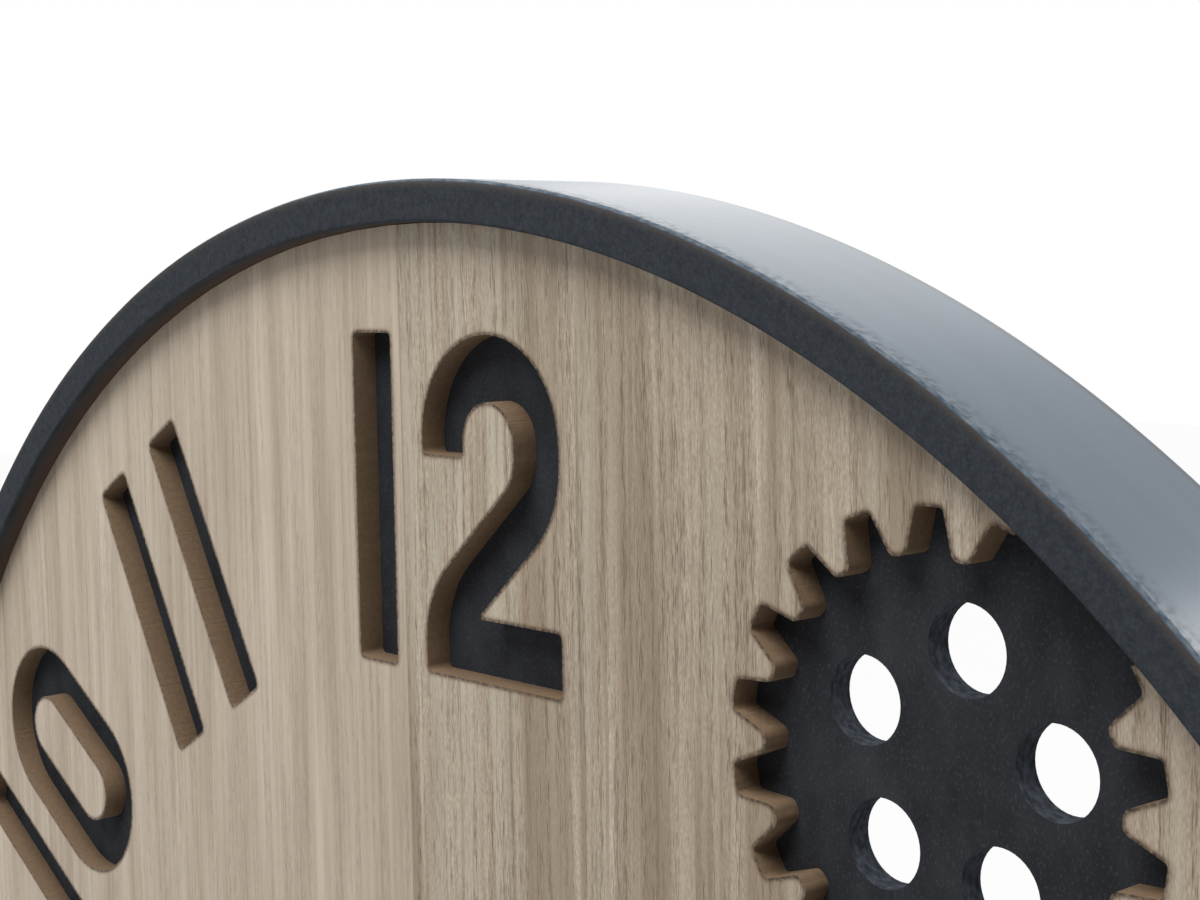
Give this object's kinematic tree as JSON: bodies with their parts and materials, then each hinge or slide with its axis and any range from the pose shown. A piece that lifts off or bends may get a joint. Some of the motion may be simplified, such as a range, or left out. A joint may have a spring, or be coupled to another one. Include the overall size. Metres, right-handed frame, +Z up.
{
  "type": "wall clock",
  "caption": "Large round wall clock: drum rim, set-back wooden dial with cut-through numerals and gear shapes, pierced black back board, hands and geared quartz movement.",
  "frame": {"origin": "where the axis of the hands meets the wall", "axes": "+Z up, +X to the right seen from the front, dial towards -Y"},
  "size_m": [0.6, 0.0441, 0.6],
  "materials": {
    "hoop": "dark slate lacquer with a worn sheen",
    "dial_board": "pale greyish beige veneered board, matt",
    "black_board": "board stained charcoal black, matt",
    "raw_blocks": "bare softwood",
    "pads": "matt",
    "zinc_steel": "zinc plated",
    "hands": "painted matt black",
    "brass": "turned",
    "black_plastic": "fine textured moulding",
    "white_plastic": "natural acetal",
    "grey_plastic": "moulded",
    "magnet": "sintered, dark",
    "lamination": "stamped",
    "copper": "enamelled wire",
    "circuit": "solder mask",
    "can": "bright",
    "resin": "cast resin",
    "cell_sleeve": "shrunk sleeve",
    "spring_steel": "nickel plated"
  },
  "bodies": {
    "clock_body": {"rim_hoop": "hoop", "face_board": "dial_board", "numeral_islands": "dial_board", "back_board": "black_board", "glue_blocks": "raw_blocks", "wall_pads": "pads", "hanger_block": "raw_blocks", "hanger_plate": "zinc_steel", "hanger_screws": "zinc_steel", "movement_case": "black_plastic", "movement_cover": "black_plastic", "threaded_bushing": "brass", "fixing_nut": "brass", "dial_gasket": "pads", "dial_washer": "brass", "stator": "lamination", "coil_bobbin": "white_plastic", "coil_winding": "copper", "circuit_board": "circuit", "quartz_can": "can", "chip_cap": "resin", "battery_cell": "cell_sleeve", "contact_plus": "spring_steel", "contact_minus": "spring_steel"},
    "minute_shaft": {"minute_arbor": "brass", "minute_hand": "hands", "hand_nut": "brass"},
    "centre_gear": {"centre_wheel": "white_plastic"},
    "hour_pipe": {"hour_wheel": "white_plastic", "hour_hand": "hands"},
    "motion_gear": {"motion_wheel": "white_plastic"},
    "knob": {"setting_knob": "grey_plastic"},
    "third_gear": {"third_wheel": "white_plastic"},
    "second_gear": {"second_wheel": "white_plastic"},
    "fifth_gear": {"fifth_wheel": "white_plastic"},
    "rotor": {"rotor_pinion": "white_plastic", "rotor_magnet": "magnet"}
  },
  "joints": [
    {"name": "minute_spin", "type": "hinge", "parent": "clock_body", "child": "minute_shaft", "pos_m": [0, 0, 0], "axis": [0, 1, 0], "continuous": true},
    {"name": "hour_spin", "type": "hinge", "parent": "clock_body", "child": "hour_pipe", "pos_m": [0, 0, 0], "axis": [0, 1, 0], "continuous": true},
    {"name": "motion_spin", "type": "hinge", "parent": "clock_body", "child": "motion_gear", "pos_m": [-0.00737, 0, -0.00516], "axis": [0, 1, 0], "continuous": true},
    {"name": "knob_spin", "type": "hinge", "parent": "clock_body", "child": "knob", "pos_m": [-0.01588, 0, -0.00809], "axis": [0, 1, 0], "continuous": true},
    {"name": "centre_spin", "type": "hinge", "parent": "clock_body", "child": "centre_gear", "pos_m": [0, 0, 0], "axis": [0, 1, 0], "continuous": true},
    {"name": "third_spin", "type": "hinge", "parent": "clock_body", "child": "third_gear", "pos_m": [-0.00755, 0, 0.01009], "axis": [0, 1, 0], "continuous": true},
    {"name": "second_spin", "type": "hinge", "parent": "clock_body", "child": "second_gear", "pos_m": [0.0038, 0, 0.01369], "axis": [0, 1, 0], "continuous": true},
    {"name": "fifth_spin", "type": "hinge", "parent": "clock_body", "child": "fifth_gear", "pos_m": [0.01178, 0, 0.01109], "axis": [0, 1, 0], "continuous": true},
    {"name": "rotor_spin", "type": "hinge", "parent": "clock_body", "child": "rotor", "pos_m": [0.01898, 0, 0.00959], "axis": [0, 1, 0], "continuous": true}
  ],
  "couplings": [
    {"joint": "hour_spin", "follows": "minute_spin", "ratio": 0.083333},
    {"joint": "motion_spin", "follows": "minute_spin", "ratio": -0.33333},
    {"joint": "knob_spin", "follows": "minute_spin", "ratio": 1},
    {"joint": "centre_spin", "follows": "minute_spin", "ratio": 1},
    {"joint": "third_spin", "follows": "minute_spin", "ratio": -8},
    {"joint": "second_spin", "follows": "minute_spin", "ratio": 60},
    {"joint": "fifth_spin", "follows": "minute_spin", "ratio": -300},
    {"joint": "rotor_spin", "follows": "minute_spin", "ratio": 1800}
  ]
}
